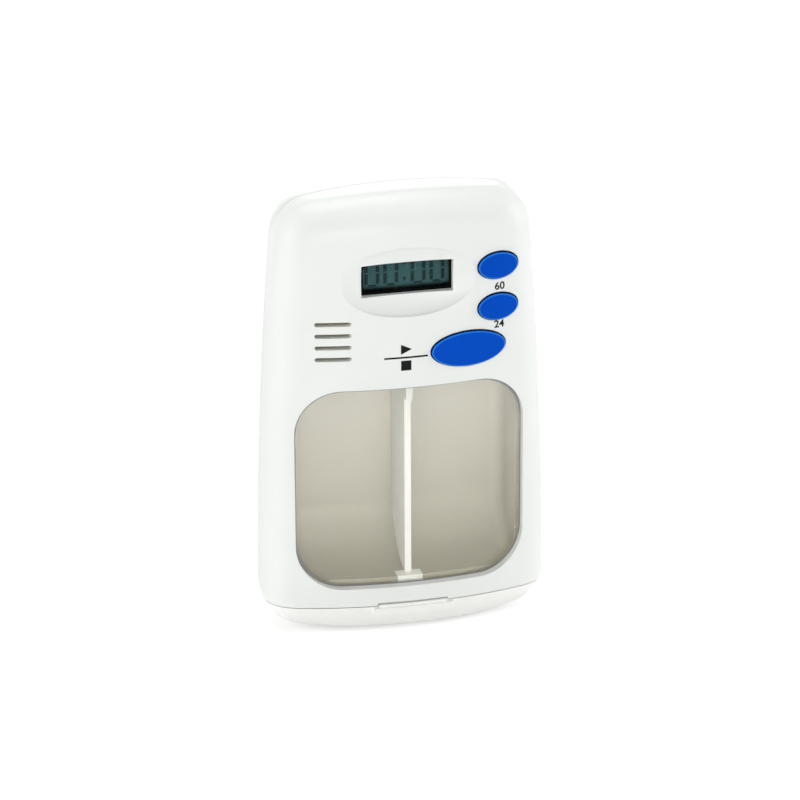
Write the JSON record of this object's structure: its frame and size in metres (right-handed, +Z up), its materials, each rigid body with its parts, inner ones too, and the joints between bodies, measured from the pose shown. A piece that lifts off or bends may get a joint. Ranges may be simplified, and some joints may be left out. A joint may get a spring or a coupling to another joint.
{
  "type": "pill box timer",
  "caption": "Upright pocket pill box with a countdown display, oval keys, sounder slots and a clear-fronted pill drawer that slides out of its lower end.",
  "frame": {"origin": "centre of the standing case's footprint, on the surface it stands on", "axes": "+Z up along the case's length, +X to the right seen from the front, the front face towards -Y"},
  "size_m": [0.0648, 0.023, 0.1032],
  "materials": {
    "case_white": "satin moulded ABS",
    "window_clear": "clear polished acrylic",
    "display_grey": "polished",
    "inner_black": "moulded",
    "contact_rubber": "matt",
    "board_green": "solder mask",
    "chip_resin": "cured resin",
    "tin_metal": "tinned",
    "buzzer_brass": "bare",
    "ceramic_white": "silvered",
    "screw_steel": "zinc plated",
    "cell_jacket": "printed film",
    "button_blue": "satin moulded"
  },
  "bodies": {
    "case": {"front_shell": "case_white", "rear_shell": "case_white", "window_pane": "window_clear", "display_glass": "display_grey", "display_frame": "inner_black", "zebra_strip": "contact_rubber", "circuit_board": "board_green", "push_switches": "inner_black", "controller_chip": "chip_resin", "board_components": "tin_metal", "buzzer_disc": "buzzer_brass", "buzzer_ceramic": "ceramic_white", "buzzer_contacts": "tin_metal", "case_screws": "screw_steel", "board_screws": "screw_steel", "battery_cell": "cell_jacket", "positive_contact": "tin_metal", "negative_contact": "tin_metal"},
    "drawer": {"drawer": "case_white", "divider": "case_white"},
    "battery_door": {"battery_door": "case_white"},
    "minute_button": {"minute_button": "button_blue"},
    "hour_button": {"hour_button": "button_blue"},
    "start_stop_button": {"start_stop_button": "button_blue"}
  },
  "joints": [
    {"name": "drawer_slide", "type": "slide", "parent": "case", "child": "drawer", "axis": [0, 0, -1], "range_m": [0, 0.044]},
    {"name": "battery_door_hinge", "type": "hinge", "parent": "case", "child": "battery_door", "pos_m": [0, 0.01005, 0.06805], "axis": [-1, 0, 0], "range_deg": [0, 90]},
    {"name": "minute_button_press", "type": "slide", "parent": "case", "child": "minute_button", "axis": [0, 1, 0], "range_m": [0, 0.0005], "stiffness_N_per_m": 1500},
    {"name": "hour_button_press", "type": "slide", "parent": "case", "child": "hour_button", "axis": [0, 1, 0], "range_m": [0, 0.0005], "stiffness_N_per_m": 1500},
    {"name": "start_stop_button_press", "type": "slide", "parent": "case", "child": "start_stop_button", "axis": [0, 1, 0], "range_m": [0, 0.0005], "stiffness_N_per_m": 1500}
  ]
}
